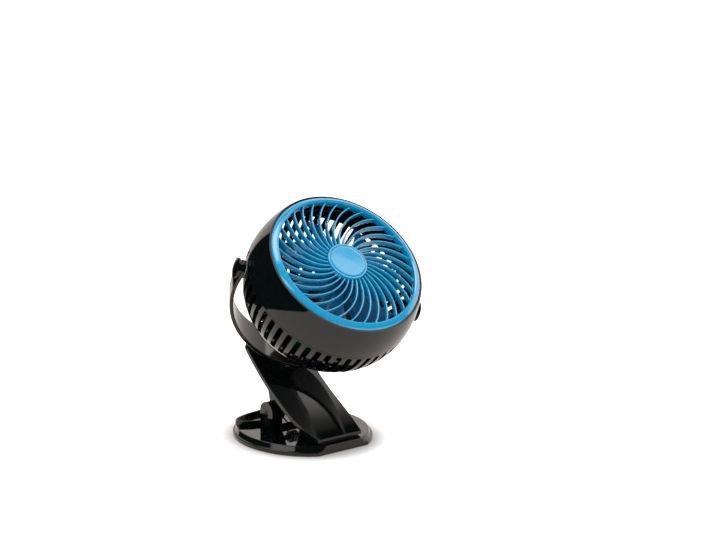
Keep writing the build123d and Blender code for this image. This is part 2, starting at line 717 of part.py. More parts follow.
def shell_profile(inset):
    """Section of the rear housing's outside, or of its inside at this depth."""
    top = seam_height - (seam_gap if inset == 0 else -seam_gap)
    with BuildSketch(Plane.XZ) as profile:
        with BuildLine():
            edge = (rear_edge_radius - inset * cos(edge_slope), rear_edge_height + inset * sin(edge_slope))
            ThreePointArc((head_radius - inset, top),
                          (shoulder_radius - inset, shoulder_height + inset * sin(edge_slope) / 2), edge)
            bulge = rear_bulge - inset
            edge_middle = ((rear_edge_radius + rear_flat_radius) / 2 + bulge * sin(edge_slope),
                           (rear_edge_height + rear_height) / 2 - bulge * cos(edge_slope))
            ThreePointArc(edge, edge_middle, (rear_flat_radius, rear_height + inset))
            Polyline((rear_flat_radius, rear_height + inset), (0, rear_height + inset), (0, top),
                     (head_radius - inset, top))
        make_face()
    return profile.sketch


with BuildPart() as vent_cutter:
    with BuildSketch(Plane.YZ.offset(rear_edge_radius)):
        with Locations((0, (vent_top + vent_bottom) / 2)):
            RectangleRounded(vent_width, vent_top - vent_bottom, vent_corner)
    extrude(amount=2 * (head_radius - rear_edge_radius))

with BuildPart() as rear_vent_cutter:
    with BuildSketch(Plane.XY.offset(2 * rear_height)):
        with Locations(((rear_vent_inner + rear_vent_outer) / 2, 0)):
            RectangleRounded(rear_vent_outer - rear_vent_inner, rear_vent_width, rear_vent_corner)
    extrude(amount=rear_vent_reach - 2 * rear_height)

holder_rib_length = holder_width - 2 * standoff_radius
board_middle = board_near - board_length / 2
with BuildPart() as rear_housing:
    revolve(shell_profile(0), axis=Axis.Z)
    revolve(shell_profile(head_wall), axis=Axis.Z, mode=Mode.SUBTRACT)
    with Locations(*[Location((0, 0, 0), (0, 0, a)) for a in vent_angles]):
        add(vent_cutter.part, mode=Mode.SUBTRACT)
    rear_vent_step = 360 / rear_vent_count
    with Locations(*[Location((0, 0, 0), (0, 0, rear_vent_step * k)) for k in range(rear_vent_count)]):
        add(rear_vent_cutter.part, mode=Mode.SUBTRACT)
    with BuildSketch(Plane.YZ.offset(pivot_face - pivot_boss_length), Plane.YZ.offset(-pivot_face)):
        Circle(pivot_boss_radius)
    extrude(amount=pivot_boss_length)
    with BuildSketch(Plane.YZ.offset(pivot_face - pivot_boss_length), Plane.YZ.offset(-pivot_face)):
        Circle(pivot_screw_radius + pin_fit)
    extrude(amount=pivot_boss_length, mode=Mode.SUBTRACT)
    with BuildSketch(Plane.XY.offset(rear_inner - seat_gap)):   # posts for the motor mount
        with GridLocations(2 * standoff_offset, 2 * standoff_offset, 2, 2):
            Circle(standoff_radius)
    extrude(amount=mount_floor - rear_inner)
    with BuildSketch(Plane.XY.offset(mount_floor - mount_screw_length)):
        with GridLocations(2 * standoff_offset, 2 * standoff_offset, 2, 2):
            Circle(mount_screw_radius + pin_fit)
    extrude(amount=mount_screw_length, mode=Mode.SUBTRACT)
    with BuildSketch(Plane.XY.offset(rear_inner - seat_gap)):   # ribs under the battery holder
        with GridLocations(2 * holder_rib_offset, 1, 2, 1):
            Rectangle(head_wall, holder_rib_length)
    extrude(amount=holder_bottom - rear_inner)
    with BuildSketch(Plane.XY.offset(rear_inner - seat_gap)):   # ribs under the board
        board_rib_offset = (board_width - head_wall) / 2
        with Locations((-board_rib_offset, board_middle), (board_rib_offset, board_middle)):
            Rectangle(head_wall, board_length / 2)
    extrude(amount=board_rear - rear_inner)
    with BuildSketch(Plane.XY.offset(2 * rear_height)):         # openings for the controls
        with Locations((0, button_offset)):
            Circle(button_radius + bore_gap)
        with Locations((0, socket_offset)):
            SlotOverall(socket_width + 2 * bore_gap, socket_height + 2 * bore_gap)
        with Locations((lens_offset_x, lens_offset_y)):
            Circle(lens_radius + seat_gap)
    extrude(amount=rear_inner - 2 * rear_height, mode=Mode.SUBTRACT)
save(rear_housing.part.moved(head_plane.location), "rear_housing")


# ---- Front grille: ring, spiral vanes and hub in one moulding ----
def turned(radius, angle):
    """A point of the grille's plan, turned clockwise as seen from the front."""
    return (radius * cos(radians(-angle)), radius * sin(radians(-angle)))


ring_bore = ring_inner_radius - ring_bevel
ring_wall_outer = ring_bore + ring_wall
vane_inner, vane_outer = hub_radius - vane_thickness, ring_bore + ring_wall / 2
grille_rear = vane_front - vane_depth
ring_middle = ((ring_radius + ring_inner_radius + ring_crown) / 2,
               (ring_outer_height + ring_inner_height) / 2 + ring_crown)
with BuildSketch() as vane:
    with BuildLine() as vane_line:
        ThreePointArc(turned(vane_inner, 0), turned((vane_inner + vane_outer) / 2, vane_turn_half),
                      turned(vane_outer, vane_turn))
    trace(vane_line.line, line_width=vane_thickness)

with BuildPart() as front_grille:
    with BuildSketch(Plane.XZ):
        with BuildLine():
            ThreePointArc((ring_radius, ring_outer_height), ring_middle,
                          (ring_inner_radius, ring_inner_height))
            Polyline((ring_inner_radius, ring_inner_height), (ring_bore, ring_inner_height - ring_bevel),
                     (ring_bore, grille_rear), (ring_wall_outer, grille_rear),
                     (ring_wall_outer, grille_seat + seat_gap), (ring_radius, grille_seat + seat_gap),
                     (ring_radius, ring_outer_height))
        make_face()
    revolve(axis=Axis.Z)
    with BuildSketch(Plane.XY.offset(grille_rear)):
        with PolarLocations(0, vane_count):
            add(vane.sketch)
    extrude(amount=vane_depth)
    with BuildSketch(Plane.XY.offset(grille_rear)):
        Circle(hub_radius)
    extrude(amount=hub_front - grille_rear)
    fillet(front_grille.edges().group_by(Axis.Z)[-1], hub_cap_bevel)
    with BuildSketch(Plane.XY.offset(hub_front - hub_recess)):
        Circle(hub_radius - hub_rim)
    extrude(amount=hub_recess, mode=Mode.SUBTRACT)
save(front_grille.part.moved(head_plane.location), "front_grille")

with BuildPart() as grille_hub_cap:
    with BuildSketch(Plane.XZ):
        cap_base = hub_front - hub_recess + seat_gap
        cap_edge = cap_base + hub_cap_height
        hub_cap_radius = hub_radius - hub_rim - running_gap
        mid_radius, mid_rise = dome_middle(hub_cap_radius - hub_cap_bevel, hub_cap_dome)
        with BuildLine():
            Polyline((0, cap_edge + hub_cap_dome), (0, cap_base), (hub_cap_radius, cap_base),
                     (hub_cap_radius, cap_edge - hub_cap_bevel), (hub_cap_radius - hub_cap_bevel, cap_edge))
            ThreePointArc((hub_cap_radius - hub_cap_bevel, cap_edge), (mid_radius, cap_edge + mid_rise),
                          (0, cap_edge + hub_cap_dome))
        make_face()
    revolve(axis=Axis.Z)
save(grille_hub_cap.part.moved(head_plane.location), "grille_hub_cap")

# ---- Impeller: twisted blades on a hub, pressed on the motor's shaft ----
blade_middle = (impeller_hub_bottom + impeller_hub_top) / 2
with BuildPart() as blade:
    with BuildSketch(Plane.YZ.offset(impeller_hub_radius - blade_root_depth)):
        with Locations((0, blade_middle)):
            SlotOverall(blade_root_chord, blade_thickness, rotation=blade_root_pitch)
    with BuildSketch(Plane.YZ.offset(blade_tip_radius)):
        with Locations((0, blade_middle)):
            SlotOverall(blade_tip_chord, blade_thickness, rotation=blade_tip_pitch)
    loft()

with BuildPart() as impeller:
    with BuildSketch(Plane.XY.offset(impeller_hub_bottom)):
        Circle(impeller_hub_radius)
    extrude(amount=impeller_hub_top - impeller_hub_bottom)
    fillet(impeller.edges().group_by(Axis.Z)[-1], impeller_hub_round)
    with Locations(*[Location((0, 0, 0), (0, 0, 360 / blade_count * k)) for k in range(blade_count)]):
        add(blade.part)
    with BuildSketch(Plane.XY.offset(impeller_hub_bottom)):
        Circle(shaft_radius + pin_fit)
    extrude(amount=shaft_top - impeller_hub_bottom + seat_gap, mode=Mode.SUBTRACT)
save(impeller.part.moved(head_plane.location), "impeller")

# ---- Motor, on its mount ----
mount_bottom = mount_floor + seat_gap
mount_top = mount_bottom + mount_thickness
motor_bottom = mount_top + seat_gap
motor_rear = motor_bottom + motor_end_height + seat_gap
save(disc(head_plane, shaft_radius, motor_rear + seat_gap, shaft_top - motor_rear - seat_gap), "motor_shaft")
with BuildPart() as motor_can:
    with BuildSketch(Plane.XY.offset(motor_rear)):
        Circle(motor_radius)
    extrude(amount=motor_top - motor_rear)
    with BuildSketch(Plane.XY.offset(motor_top)):
        Circle(motor_nose_radius)
    extrude(amount=motor_nose_height)
    with BuildSketch(Plane.XY.offset(motor_rear)):
        Circle(shaft_radius + bore_gap)
    extrude(amount=motor_top + motor_nose_height - motor_rear, mode=Mode.SUBTRACT)
save(motor_can.part.moved(head_plane.location), "motor_can")
save(disc(head_plane, motor_radius, motor_bottom, motor_end_height), "motor_end_cap")

cup_inner = motor_radius + seat_gap
with BuildPart() as motor_mount:
    with BuildSketch(Plane.XY.offset(mount_bottom)):
        Circle(mount_radius)
        with GridLocations(2 * standoff_offset, 2 * standoff_offset, 2, 2):
            Circle(mount_screw_radius + bore_gap, mode=Mode.SUBTRACT)
    extrude(amount=mount_thickness)
    with BuildSketch(Plane.XY.offset(mount_top)):
        Circle(cup_inner + mount_cup_wall)
        Circle(cup_inner, mode=Mode.SUBTRACT)
    extrude(amount=mount_cup_height)
save(motor_mount.part.moved(head_plane.location), "motor_mount")

with BuildPart() as mount_screws:
    with BuildSketch(Plane.XY.offset(mount_top + seat_gap - mount_screw_length)):
        with GridLocations(2 * standoff_offset, 2 * standoff_offset, 2, 2):
            Circle(mount_screw_radius)
    extrude(amount=mount_screw_length + mount_screw_head_height / 2)
    with BuildSketch(Plane.XY.offset(mount_top + seat_gap)):
        with GridLocations(2 * standoff_offset, 2 * standoff_offset, 2, 2):
            Circle(mount_screw_head_radius)
    extrude(amount=mount_screw_head_height)
    with BuildSketch(Plane.XY.offset(mount_top + seat_gap + mount_screw_head_height / 2)):
        with GridLocations(2 * standoff_offset, 2 * standoff_offset, 2, 2):
            Rectangle(mount_screw_head_radius, slot_width)
            Rectangle(slot_width, mount_screw_head_radius)
    extrude(amount=mount_screw_head_height, mode=Mode.SUBTRACT)
save(mount_screws.part.moved(head_plane.location), "mount_screws")

# ---- Battery in its holder, under the motor ----
along_pivots = Plane.YZ
with BuildPart() as battery_cell:
    with BuildSketch(along_pivots):
        with Locations((0, cell_height)):
            Circle(cell_radius)
    extrude(amount=cell_length / 2 - cell_button_height, both=True)
    with BuildSketch(along_pivots):
        with Locations((0, cell_height)):
            Circle(cell_button_radius)
    extrude(amount=cell_length / 2)
save(battery_cell.part.moved(head_plane.location), "battery_cell")

with BuildPart() as battery_holder:
    with BuildSketch(Plane.XY.offset(holder_bottom)):
        RectangleRounded(cell_length + 2 * holder_end_wall, holder_width, holder_corner)
    extrude(amount=holder_top - holder_bottom)
    with BuildSketch(along_pivots):
        with Locations((0, cell_height)):
            Circle(cell_radius + seat_gap)
    extrude(amount=cell_length / 2 + seat_gap, both=True, mode=Mode.SUBTRACT)
save(battery_holder.part.moved(head_plane.location), "battery_holder")

# ---- Circuit board with its switch, and what shows at the rear ----
with BuildPart() as circuit_board:
    with BuildSketch(Plane.XY.offset(board_rear)):
        with Locations((0, board_middle)):
            Rectangle(board_width, board_length)
    extrude(amount=board_thickness)
    with BuildSketch(Plane.XY.offset(board_rear - switch_height)):
        with Locations((0, button_offset)):
            Rectangle(switch_size, switch_size)
    extrude(amount=switch_height)
save(circuit_board.part.moved(head_plane.location), "circuit_board")

socket_depth = board_rear - seat_gap - rear_height - socket_recess
with BuildPart() as usb_socket:
    with BuildSketch(Plane.XY.offset(rear_height + socket_recess)):
        with Locations((0, socket_offset)):
            SlotOverall(socket_width, socket_height)
    extrude(amount=socket_depth)
    with BuildSketch(Plane.XY.offset(rear_height + socket_recess)):
        with Locations((0, socket_offset)):
            SlotOverall(socket_width - 2 * socket_wall, socket_height - 2 * socket_wall)
            Rectangle(tongue_width, tongue_thickness, mode=Mode.SUBTRACT)
    extrude(amount=socket_depth - 2 * socket_wall, mode=Mode.SUBTRACT)
save(usb_socket.part.moved(head_plane.location), "usb_socket")

flange_seat = rear_inner + seat_gap
with BuildPart() as power_button:
    with BuildSketch(Plane.XY.offset(rear_height - button_proud)):
        with Locations((0, button_offset)):
            Circle(button_radius)
    extrude(amount=flange_seat - rear_height + button_proud)
    fillet(power_button.edges().group_by(Axis.Z)[0], button_round)
    with BuildSketch(Plane.XY.offset(flange_seat)):
        with Locations((0, button_offset)):
            Circle(button_radius + button_flange)
    extrude(amount=button_flange)
save(power_button.part.moved(head_plane.location), "power_button")

with BuildPart() as indicator_lens:
    with BuildSketch(Plane.XY.offset(rear_height)):
        with Locations((lens_offset_x, lens_offset_y)):
            Circle(lens_radius)
    extrude(amount=board_rear - seat_gap - rear_height)
save(indicator_lens.part.moved(head_plane.location), "indicator_lens")
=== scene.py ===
import json
import math

import bmesh
import bpy
import numpy as np
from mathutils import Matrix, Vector


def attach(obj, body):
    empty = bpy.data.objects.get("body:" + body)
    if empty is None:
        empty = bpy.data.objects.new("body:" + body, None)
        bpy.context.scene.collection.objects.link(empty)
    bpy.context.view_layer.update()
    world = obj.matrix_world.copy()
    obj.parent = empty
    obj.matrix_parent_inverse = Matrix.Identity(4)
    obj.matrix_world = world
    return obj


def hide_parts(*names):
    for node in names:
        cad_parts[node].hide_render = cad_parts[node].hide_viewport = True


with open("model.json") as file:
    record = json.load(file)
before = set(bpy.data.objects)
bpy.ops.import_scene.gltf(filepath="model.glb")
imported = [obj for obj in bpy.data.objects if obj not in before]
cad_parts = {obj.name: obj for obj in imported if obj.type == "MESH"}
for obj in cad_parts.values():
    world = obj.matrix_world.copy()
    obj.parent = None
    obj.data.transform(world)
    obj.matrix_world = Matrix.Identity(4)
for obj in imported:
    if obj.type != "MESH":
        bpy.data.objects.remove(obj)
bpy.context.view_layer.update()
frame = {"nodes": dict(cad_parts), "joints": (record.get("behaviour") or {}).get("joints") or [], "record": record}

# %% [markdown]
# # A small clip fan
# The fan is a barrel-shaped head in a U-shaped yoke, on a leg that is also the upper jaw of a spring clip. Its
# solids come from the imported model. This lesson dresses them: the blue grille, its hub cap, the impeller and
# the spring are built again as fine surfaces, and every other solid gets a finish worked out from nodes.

MM = 0.001

# %% [markdown]
# ## The head's own axes
# The head is tilted and turned on its joints, so its pieces are easiest to describe from its own pivots:
# x along the pivots, y towards the top of the grille, and height along the fan's axis, all in millimetres.
# The pieces could be made upright and their objects turned, but a finished object stays unturned at the
# origin, so its points are turned instead. The joints in the record give the axes.

# %% Axes of the head
joints = {joint["name"]: joint for joint in frame["joints"]}
pivots_along = np.array(joints["head_tilt"]["axis"])
fan_along = np.array(joints["fan_spin"]["axis"])
top_along = np.cross(fan_along, pivots_along)
pivot_centre = np.array(joints["head_tilt"]["pos_m"])


def in_head(points):
    """Millimetres in the head's axes to metres in the row frame: the pivots' centre plus x, y and height
    times the three axes."""
    return pivot_centre + points @ np.array([pivots_along, top_along, fan_along]) * MM


print("fan axis", fan_along.round(3), "pivots", pivots_along.round(3))

# %% [markdown]
# ## Surfaces from grids
# Each new piece is a few surfaces. They could be modelled by hand, but then a size is hard to change later. So
# a surface is an array of points in rows and columns, and its faces join neighbours in the array.


# %% Grids
def grid_faces(rows, columns, close_rows=False):
    """Four-cornered faces between neighbours of a grid whose columns close on themselves."""
    row = np.arange(rows if close_rows else rows - 1)[:, None]
    column = np.arange(columns)[None, :]
    next_row, next_column = (row + 1) % rows, (column + 1) % columns
    corners = (row * columns + column, row * columns + next_column,
               next_row * columns + next_column, next_row * columns + column)
    return np.stack(np.broadcast_arrays(*corners), -1).reshape(-1, 4)


def patch(points, close_rows=False):
    """A grid of points, rows by columns by 3, as a list of points and its faces."""
    return points.reshape(-1, 3), grid_faces(points.shape[0], points.shape[1], close_rows)


print("a grid of 3 rows of 4 points has", len(grid_faces(3, 4)), "faces")

# %% [markdown]
# ## Rounded profiles
# Round mouldings are turned profiles. A mould has no knife edges, and the small round is what catches a thin
# line of light. A Bevel modifier could round the turned surface, but each corner here has a radius of its own,
# so it is rounded in the profile.


# %% Profiles and turned surfaces
def rounded(profile, radius, steps=3, closed=True):
    """A profile with each corner replaced by a short curve. The curve runs between the points that lie one
    radius (at most a third of the side) from the corner, pulled towards the corner: (1-t)^2 a + 2t(1-t) c +
    t^2 b."""
    corner = np.array(profile, float)
    radius = np.broadcast_to(np.asarray(radius, float), len(corner))[:, None]
    before, after = np.roll(corner, 1, 0) - corner, np.roll(corner, -1, 0) - corner
    far_before = np.maximum(np.linalg.norm(before, axis=1, keepdims=True), 1e-9)
    far_after = np.maximum(np.linalg.norm(after, axis=1, keepdims=True), 1e-9)
    start = corner + before / far_before * np.minimum(radius, far_before / 3)
    end = corner + after / far_after * np.minimum(radius, far_after / 3)
    t = np.linspace(0, 1, steps + 1)[None, :, None]
    curve = ((1 - t) ** 2 * start[:, None] + 2 * t * (1 - t) * corner[:, None] + t ** 2 * end[:, None])
    curve = curve.reshape(-1, 2)
    return curve if closed else np.vstack([corner[:1], curve[steps + 1:-steps - 1], corner[-1:]])


def bowed(start, end, rise, steps):
    """Points from start to end on a line bowed outwards: start + t (end - start) + 4 t (1 - t) rise to the
    side, where the side is the line's direction turned a quarter."""
    start, end = np.array(start, float), np.array(end, float)
    t = np.linspace(0, 1, steps)[:, None]
    along = (end - start) / np.linalg.norm(end - start)
    return start + t * (end - start) + 4 * t * (1 - t) * rise * np.array([along[1], -along[0]])


def turned(profile, columns):
    """A profile of (radius, height) turned about the head's axis: at each angle a the point is
    (radius cos a, radius sin a, height)."""
    angle = np.arange(columns) * 2 * np.pi / columns
    radius, height = profile[:, 0, None], profile[:, 1, None]
    return np.stack(np.broadcast_arrays(radius * np.cos(angle), radius * np.sin(angle), height), -1)


print("a square with rounded corners has", len(rounded([(1, 0), (2, 0), (2, 1), (1, 1)], 0.1)), "points")

# %% [markdown]
# ## From arrays to a piece
# The patches of a piece are joined into one mesh at the origin, which holds the piece's place in its points.
# Doubled points at poles and seams are merged, and then all faces are turned outwards. Edges sharper than a
# set angle stay crisp, and everything else is shaded smoothly.


# %% Making a piece
MERGE_WITHIN, SLIVER = 2e-6, 1e-7


def make_piece(name, patches, body, finish, crisp=38.0):
    """One mesh from patches in metres, which rides on a body and replaces the solid of the same name."""
    starts = np.cumsum([0] + [len(points) for points, faces in patches])
    points = np.vstack([points for points, faces in patches])
    faces = np.vstack([faces + start for (_, faces), start in zip(patches, starts)])
    mesh = bpy.data.meshes.new(name)
    mesh.from_pydata(points.tolist(), [], faces.tolist())
    welded = bmesh.new()
    welded.from_mesh(mesh)
    bmesh.ops.remove_doubles(welded, verts=welded.verts, dist=MERGE_WITHIN)
    bmesh.ops.dissolve_degenerate(welded, edges=welded.edges, dist=SLIVER)
    bmesh.ops.recalc_face_normals(welded, faces=welded.faces)
    welded.to_mesh(mesh)
    welded.free()
    mesh.polygons.foreach_set("use_smooth", np.ones(len(mesh.polygons), bool))
    mesh.set_sharp_from_angle(angle=math.radians(crisp))
    mesh.materials.append(finish)
    piece = bpy.data.objects.new(name + "_skin", mesh)
    bpy.context.scene.collection.objects.link(piece)
    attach(piece, body)
    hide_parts(name)
    print(name, "has", len(mesh.polygons), "faces")


# %% [markdown]
# ## Finishes
# Every finish is a Principled shader with a little node work in front of it. The colour that is written is
# the colour of the plastic or metal itself. An image could vary it, but it would need a map of every piece.
# Noise needs none: on Object coordinates, which are metres here, it varies the colour and the roughness and
# raises a very low bump, so that a reflection isn't the same all over.


# %% A finish from noise
NOISE_LOW, NOISE_HIGH = 0.3, 0.7


def finish(name, colour, roughness, metallic=0.0, sheen_of_coat=0.0, coat_roughness=0.05, coat_refraction=1.5,
           colour_spread=0.12, rough_spread=0.25, grain=400.0, bump=0.00001, bump_grain=900.0, stretch=(1, 1, 1)):
    """Colour times 1 +- colour_spread by noise with so many grains a metre, and roughness times 1 +-
    rough_spread by noise with a fifth as many, both between the noise's low and high level. The bump is so many
    metres high and has a grain of its own. Stretch multiplies the grains along each axis."""
    material = bpy.data.materials.new(name)
    material.use_nodes = True
    nodes, links = material.node_tree.nodes, material.node_tree.links
    shader = nodes["Principled BSDF"]
    shader.inputs["Metallic"].default_value = metallic
    shader.inputs["Coat IOR"].default_value = coat_refraction
    shader.inputs["Coat Weight"].default_value = sheen_of_coat
    shader.inputs["Coat Roughness"].default_value = coat_roughness
    place = nodes.new("ShaderNodeTexCoord")
    mapping = nodes.new("ShaderNodeMapping")
    mapping.inputs["Scale"].default_value = stretch
    links.new(place.outputs["Object"], mapping.inputs["Vector"])

    def noise(scale, detail):
        """Noise with so many grains a metre and so many finer layers."""
        cloud = nodes.new("ShaderNodeTexNoise")
        cloud.inputs["Scale"].default_value = scale
        cloud.inputs["Detail"].default_value = detail
        links.new(mapping.outputs["Vector"], cloud.inputs["Vector"])
        return cloud.outputs["Fac"]

    mottle = noise(grain, 4.0)
    shades = nodes.new("ShaderNodeValToRGB")
    ends = ((NOISE_LOW, 1 - colour_spread), (NOISE_HIGH, 1 + colour_spread))
    for element, (position, share) in zip(shades.color_ramp.elements, ends):
        element.position = position
        element.color = (*[min(1.0, part * share) for part in colour], 1)
    links.new(mottle, shades.inputs["Fac"])
    links.new(shades.outputs["Color"], shader.inputs["Base Color"])
    gloss = nodes.new("ShaderNodeMapRange")
    gloss.inputs["From Min"].default_value, gloss.inputs["From Max"].default_value = NOISE_LOW, NOISE_HIGH
    gloss.inputs["To Min"].default_value = roughness * (1 - rough_spread)
    gloss.inputs["To Max"].default_value = roughness * (1 + rough_spread)
    links.new(noise(grain / 5, 3.0), gloss.inputs["Value"])
    links.new(gloss.outputs["Result"], shader.inputs["Roughness"])
    relief = nodes.new("ShaderNodeBump")
    relief.inputs["Strength"].default_value = 1.0
    relief.inputs["Distance"].default_value = bump
    links.new(noise(bump_grain, 2.0), relief.inputs["Height"])
    links.new(relief.outputs["Normal"], shader.inputs["Normal"])
    return material


print("noise is read from", NOISE_LOW, "to", NOISE_HIGH)

# %% [markdown]
# The photograph shows a black gloss and a blue plastic, and what is inside or underneath gets the finish that
# such parts usually have. The blue could be one glossy plastic, but it reflects the studio strongly over a
# dull body, so it has a clear coat over a rougher plastic.

# %% The fan's finishes
black_gloss = finish("black_gloss_moulding", (0.0022, 0.0038, 0.0038), 0.055, colour_spread=0.2,
                     grain=260, bump=0.000004, bump_grain=90)
black_satin = finish("black_satin_moulding", (0.014, 0.015, 0.016), 0.38, bump=0.00002, bump_grain=1800)
blue_plastic = finish("blue_grille_plastic", (0.0, 0.37, 0.67), 0.26, sheen_of_coat=1.0, coat_roughness=0.12,
                      coat_refraction=1.75, colour_spread=0.05, bump=0.000006, bump_grain=700)
impeller_plastic = finish("impeller_plastic", (0.02, 0.13, 0.28), 0.2, bump=0.00001)
sole_rubber = finish("sole_rubber", (0.022, 0.022, 0.023), 0.75, grain=900, bump=0.00006, bump_grain=2500)
pad_rubber = finish("jaw_pad_rubber", (0.03, 0.03, 0.032), 0.7, grain=900, bump=0.00006, bump_grain=2500)
washer_plastic = finish("waxy_washer", (0.5, 0.5, 0.47), 0.35, bump=0.00002)
dark_steel = finish("blackened_pin_steel", (0.03, 0.03, 0.032), 0.3, metallic=1.0, grain=1200, bump=0.00001)
plain_steel = finish("zinc_plated_steel", (0.55, 0.55, 0.56), 0.3, metallic=1.0, grain=1200, bump=0.00001,
                     bump_grain=3000)
spring_steel = finish("drawn_spring_wire", (0.42, 0.42, 0.44), 0.26, metallic=1.0, grain=900,
                      bump=0.00001, bump_grain=5000, stretch=(6, 1, 1))
motor_steel = finish("drawn_motor_can", (0.5, 0.5, 0.5), 0.32, metallic=1.0, grain=800, bump=0.00001)
socket_steel = finish("plated_socket", (0.6, 0.6, 0.6), 0.25, metallic=1.0, grain=1500, bump=0.00001)
cell_sleeve = finish("shrink_sleeve", (0.04, 0.15, 0.4), 0.3, grain=150, bump=0.00002, bump_grain=300)
board_green = finish("solder_mask", (0.006, 0.05, 0.02), 0.3, grain=700, bump=0.00003, bump_grain=1500)
lens_plastic = finish("clear_lens", (0.5, 0.55, 0.6), 0.1, sheen_of_coat=0.6, bump=0.00001)
print("finishes made", len(bpy.data.materials))

# %% [markdown]
# ## Finishes on the solids
# A solid whose shape is right stays, and only gets a better finish. A finish could be named for each solid,
# but the record already says which material slot each one has, so the finish follows from the slot's name.
# The hinge pin's end doesn't shine in the photograph, so the pin alone is blackened instead of plain steel.

# %% Dressing the solids
slot_finish = {"black_gloss": black_gloss, "black_satin": black_satin, "blue_plastic": blue_plastic,
               "impeller_plastic": impeller_plastic, "sole_rubber": sole_rubber, "pad_rubber": pad_rubber,
               "washer_plastic": washer_plastic, "plain_steel": plain_steel, "spring_steel": spring_steel,
               "motor_steel": motor_steel, "socket_steel": socket_steel, "cell_sleeve": cell_sleeve,
               "board_green": board_green, "button_plastic": black_gloss, "lens_plastic": lens_plastic}
solid_finish = {part["node"]: slot_finish[part["material_slot"]] for part in frame["record"]["subparts"]}
solid_finish["hinge_pin"] = dark_steel
for name, solid in frame["nodes"].items():
    solid.data.materials.clear()
    solid.data.materials.append(solid_finish[name])
print("solids dressed", len(frame["nodes"]))

# %% [markdown]
# ## The grille
# The real grille is one blue moulding: a bevelled ring, 33 spiral vanes and a hub. It could be cut out of a
# disc, but cutting leaves sharp edges with uneven faces, and the rounded front edges are what shines here. So
# the ring and hub are turned profiles, and each vane is a grid of its own: its angle is a function of the
# radius, a slope and a slight bend, and its walls stand along the fan's axis under a rounded front edge.

# %% Ring and hub
GRILLE_REAR, HUB_RADIUS, RING_BORE = 30.8, 15.2, 52.8
RING_COLUMNS, HUB_COLUMNS = 240, 96

crown = bowed((53.9, 37.0), (58.0, 33.5), -0.54, 9)
ring_profile = np.vstack([crown, [(58.0, 31.05), (54.9, 31.05), (54.9, GRILLE_REAR), (RING_BORE, GRILLE_REAR),
                                  (RING_BORE, 35.9)]])
ring_rounds = np.r_[0.45, np.full(7, 0.05), 0.35, 0.1, 0.1, 0.1, 0.25, 0.3]
ring = patch(in_head(turned(rounded(ring_profile, ring_rounds), RING_COLUMNS)), True)

hub_profile = rounded([(0, 34.8), (13.6, 34.8), (13.6, 36.0), (HUB_RADIUS, 36.0), (HUB_RADIUS, GRILLE_REAR),
                       (0, GRILLE_REAR)], [0, 0.2, 0.3, 0.45, 0.3, 0], closed=False)
hub = patch(in_head(turned(hub_profile, HUB_COLUMNS)))
print("ring and hub have", len(ring[1]) + len(hub[1]), "faces")

# %% Vanes
VANES, VANE_THICKNESS, VANE_FRONT, VANE_SINK = 33, 1.1, 35.0, 1.0
VANE_ROWS, EDGE_POINTS = 30, 9
VANE_SLOPE, VANE_BEND, ANGLE_FROM = 0.7945, 0.0035, 15
FRONT_ROUND, REAR_CHAMFER, REAR_WIDTH = 0.5, 0.2, 0.8


def vane_grid(first_angle):
    """One vane. Along it the radius runs from inside the hub to inside the ring, and the angle turns back by
    slope x + bend x^2 degrees, x being the radius beyond 15 mm. Across it the section is an upright wall
    whose front edge is half an ellipse. The first and last rows shrink to a point, which closes the ends."""
    radius = np.linspace(HUB_RADIUS - VANE_SINK, RING_BORE + VANE_SINK, VANE_ROWS)
    beyond = radius - ANGLE_FROM
    angle = first_angle - np.radians(VANE_SLOPE * beyond + VANE_BEND * beyond ** 2)
    line = np.stack([radius * np.cos(angle), radius * np.sin(angle)], -1)
    along = np.gradient(line, axis=0)
    along /= np.linalg.norm(along, axis=1, keepdims=True)
    side = np.stack([-along[:, 1], along[:, 0]], -1)
    turn = np.linspace(0, np.pi, EDGE_POINTS)
    across = np.r_[np.cos(turn), -1, -REAR_WIDTH, REAR_WIDTH, 1] * VANE_THICKNESS / 2
    front_edge = VANE_FRONT - FRONT_ROUND + FRONT_ROUND * np.sin(turn)
    chamfer = GRILLE_REAR + REAR_CHAMFER
    height = np.r_[front_edge, chamfer, GRILLE_REAR, GRILLE_REAR, chamfer]
    keep = np.ones(len(radius))
    keep[[0, -1]] = 0
    plan = line[:, None] + side[:, None] * across[None, :, None] * keep[:, None, None]
    middle = (VANE_FRONT + GRILLE_REAR) / 2
    level = middle + (height[None, :] - middle) * keep[:, None]
    return np.concatenate([plan, level[..., None]], -1)


vanes = [patch(in_head(vane_grid(2 * np.pi * k / VANES))) for k in range(VANES)]
make_piece("front_grille", [ring, hub, *vanes], "head", blue_plastic)

# %% [markdown]
# The cap in the hub is a separate disc on the real fan. A flat disc would do for its outline, but a very
# slight dome lets its left side mirror another part of the studio than its right side. So it is a turned
# profile too, and sits in the hub's recess with a thin gap.

# %% Hub cap
CAP_COLUMNS = 120
cap_dome = bowed((0, 36.6), (12.9, 36.2), -0.06, 14)
cap_edge = rounded([(13.3, 35.95), (13.3, 34.85), (0, 34.85)], [0.2, 0.1, 0], closed=False)
cap = patch(in_head(turned(np.vstack([cap_dome, cap_edge]), CAP_COLUMNS)))
make_piece("grille_hub_cap", [cap], "head", blue_plastic)

# %% [markdown]
# ## The impeller
# Seven blades push the air forwards. They could be bent plates, but a real blade is moulded as a wing, and its
# round nose and thin tail catch the light differently. So a blade is a grid: its section is a thin teardrop
# with a bent middle line, laid on a cylinder about the fan's axis. From root to tip the section grows longer
# and lies flatter, because the tip moves faster. The hub is a turned cup with a rounded front.

